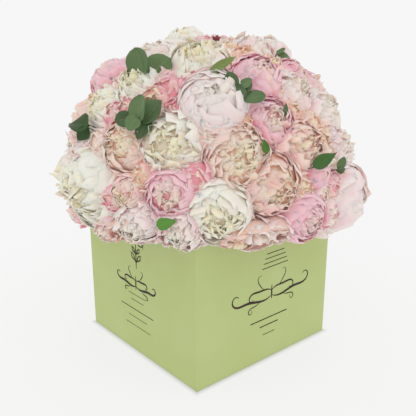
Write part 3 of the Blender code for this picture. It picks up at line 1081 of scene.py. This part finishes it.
def make_stage():
    """The floor with a painted contact shadow round the box, an even world light, a soft sun and
    the camera.
    """
    scene = bpy.context.scene
    bm = bmesh.new()
    bmesh.ops.create_grid(bm, x_segments=1, y_segments=1, size=FLOOR_HALF)
    mesh = bpy.data.meshes.new("floor")
    bm.to_mesh(mesh)
    bm.free()
    material, tree = new_material("pale studio floor")
    place = add_node(tree, "ShaderNodeTexCoord")
    size = add_node(tree, "ShaderNodeVectorMath", {"operation": "ABSOLUTE"},
                    {0: place.outputs["Object"]})
    sides = add_node(tree, "ShaderNodeSeparateXYZ", None, {0: size.outputs[0]})
    off = add_node(tree, "ShaderNodeMath", {"operation": "MAXIMUM"},
                   {0: sides.outputs[0], 1: sides.outputs[1]})
    # The floor glows less close to the box's foot: a painted contact shadow.
    glow = smooth_range(tree, off.outputs[0], BOX_HALF - 2 * MM, BOX_HALF + PAINTED_SHADOW_REACH,
                        SHADED_GLOW, FLOOR_GLOW)
    finish_material(tree, {"Base Color": srgb("8A8A8A"), "Roughness": 1.0,
                           "Specular IOR Level": 0.0, "Emission Color": srgb("FFFFFF"),
                           "Emission Strength": glow})
    mesh.materials.append(material)
    floor = bpy.data.objects.new("floor", mesh)
    scene.collection.objects.link(floor)

    world = bpy.data.worlds.new("studio")
    world.use_nodes = True
    world.node_tree.nodes.clear()
    ray = add_node(world.node_tree, "ShaderNodeLightPath")
    light = add_node(world.node_tree, "ShaderNodeMapRange", None,
                     {0: ray.outputs["Is Camera Ray"], 3: settings().fill_light, 4: BACKDROP})
    sky = add_node(world.node_tree, "ShaderNodeBackground", None,
                   {"Color": srgb("FFFFFF"), "Strength": light.outputs[0]})
    add_node(world.node_tree, "ShaderNodeOutputWorld", None, {"Surface": sky.outputs[0]})
    scene.world = world
    scene.view_settings.view_transform = "Standard"
    scene.view_settings.gamma = SOFT_GAMMA

    sun = bpy.data.lights.new("key", "SUN")
    sun.energy = settings().key_light
    sun.angle = SUN_SOFTNESS
    key = bpy.data.objects.new("key", sun)
    key.rotation_euler = KEY_HEADING.to_track_quat("-Z", "Y").to_euler()
    scene.collection.objects.link(key)

    lens = bpy.data.cameras.new("camera")
    lens.lens = CAMERA_LENS
    lens.sensor_width = SENSOR_WIDTH
    camera = bpy.data.objects.new("camera", lens)
    camera.location = CAMERA_PLACE
    camera.rotation_euler = (math.pi / 2 - CAMERA_PITCH, 0, -CAMERA_HEADING)
    scene.collection.objects.link(camera)
    scene.camera = camera


# ---------------------------------------------------------------- add-on

class BouquetSettings(bpy.types.PropertyGroup):
    seed: IntProperty(name="Seed", description="Start of the random draws", default=7)
    bloom_fullness: FloatProperty(
        name="Fullness", description="Size of a bloom's petals beside its place", default=0.97)
    petal_thickness: FloatProperty(
        name="Petal thickness", description="Thickness of a petal", default=0.3 * MM,
        unit="LENGTH")
    press_softness: FloatProperty(
        name="Press", description="How far from a neighbour a petal starts to give way",
        default=9 * MM, unit="LENGTH")
    fill_light: FloatProperty(
        name="Fill light", description="Strength of the even light", default=0.81)
    key_light: FloatProperty(
        name="Key light", description="Strength of the soft light from one side", default=0.3)


class BuildStep:
    """A step of the model, which runs its functions in their order."""

    makers = ()

    def execute(self, context):
        for make in self.makers:
            make()
        return {"FINISHED"}


class BOUQUET_OT_stage(BuildStep, bpy.types.Operator):
    """Make the floor, the light and the camera"""

    bl_idname = "bouquet.stage"
    bl_label = "Stage"
    makers = (make_stage,)


class BOUQUET_OT_box(BuildStep, bpy.types.Operator):
    """Finish the card box, its liner and the foam"""

    bl_idname = "bouquet.box"
    bl_label = "Box and foam"
    makers = (make_box, make_print)


class BOUQUET_OT_blooms(BuildStep, bpy.types.Operator):
    """Model every peony petal by petal"""

    bl_idname = "bouquet.blooms"
    bl_label = "Blooms"
    makers = (make_blooms,)


class BOUQUET_OT_fillers(BuildStep, bpy.types.Operator):
    """Model the small blooms that fill the gaps"""

    bl_idname = "bouquet.fillers"
    bl_label = "Filler blooms"
    makers = (make_fillers,)


class BOUQUET_OT_stems(BuildStep, bpy.types.Operator):
    """Model the stems, calyces and sepals"""

    bl_idname = "bouquet.stems"
    bl_label = "Stems"
    makers = (make_stems, make_sepals)


class BOUQUET_OT_sprigs(BuildStep, bpy.types.Operator):
    """Model the eucalyptus and peony leaf sprigs"""

    bl_idname = "bouquet.sprigs"
    bl_label = "Foliage"
    makers = (make_sprigs,)


class BOUQUET_PT_panel(bpy.types.Panel):
    """The bouquet's sizes and steps"""

    bl_idname = "BOUQUET_PT_panel"
    bl_label = "Bouquet"
    bl_space_type = "VIEW_3D"
    bl_region_type = "UI"
    bl_category = "Bouquet"

    def draw(self, context):
        for name in BouquetSettings.__annotations__:
            self.layout.prop(context.scene.bouquet, name)
        for step in STEPS:
            self.layout.operator(step.bl_idname)


STEPS = (BOUQUET_OT_stage, BOUQUET_OT_box, BOUQUET_OT_blooms, BOUQUET_OT_fillers,
         BOUQUET_OT_stems, BOUQUET_OT_sprigs)
CLASSES = (BouquetSettings, *STEPS, BOUQUET_PT_panel)


def register():
    for cls in CLASSES:
        bpy.utils.register_class(cls)
    bpy.types.Scene.bouquet = PointerProperty(type=BouquetSettings)


def unregister():
    del bpy.types.Scene.bouquet
    for cls in reversed(CLASSES):
        bpy.utils.unregister_class(cls)


def main():
    register()
    bpy.ops.bouquet.stage()
    bpy.ops.bouquet.box()
    bpy.ops.bouquet.blooms()
    bpy.ops.bouquet.fillers()
    bpy.ops.bouquet.stems()
    bpy.ops.bouquet.sprigs()


if __name__ == "__main__":
    main()
